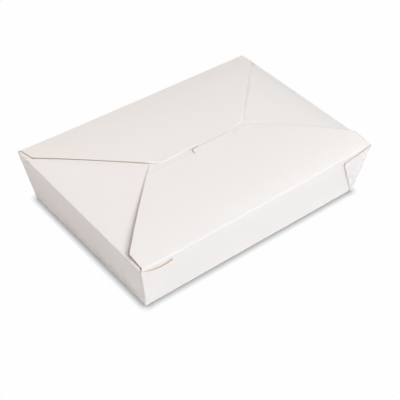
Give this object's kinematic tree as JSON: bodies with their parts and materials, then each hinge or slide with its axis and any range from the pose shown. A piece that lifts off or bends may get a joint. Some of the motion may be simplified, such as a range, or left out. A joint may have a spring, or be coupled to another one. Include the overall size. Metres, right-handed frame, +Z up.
{
  "type": "food carton",
  "caption": "Shallow flared paperboard food carton with folded web corners and an envelope top; the back flap tucks under a tongue in the front flap and lifts open.",
  "frame": {"origin": "centre of the base, on the surface that the carton stands on", "axes": "+X along the carton's length, +Y from the front wall to the back wall that carries the opening flap, +Z up"},
  "size_m": [0.214, 0.1522, 0.0495],
  "materials": {
    "white_board": "matt coated white outside, brown kraft inside and at the cut edges"
  },
  "bodies": {
    "carton": {"carton_body": "white_board"},
    "flap": {"back_flap": "white_board"}
  },
  "joints": [
    {"name": "back_flap_fold", "type": "hinge", "parent": "carton", "child": "flap", "pos_m": [0, 0.0751, 0.0446], "axis": [-1, 0, 0], "range_deg": [0, 160]}
  ]
}
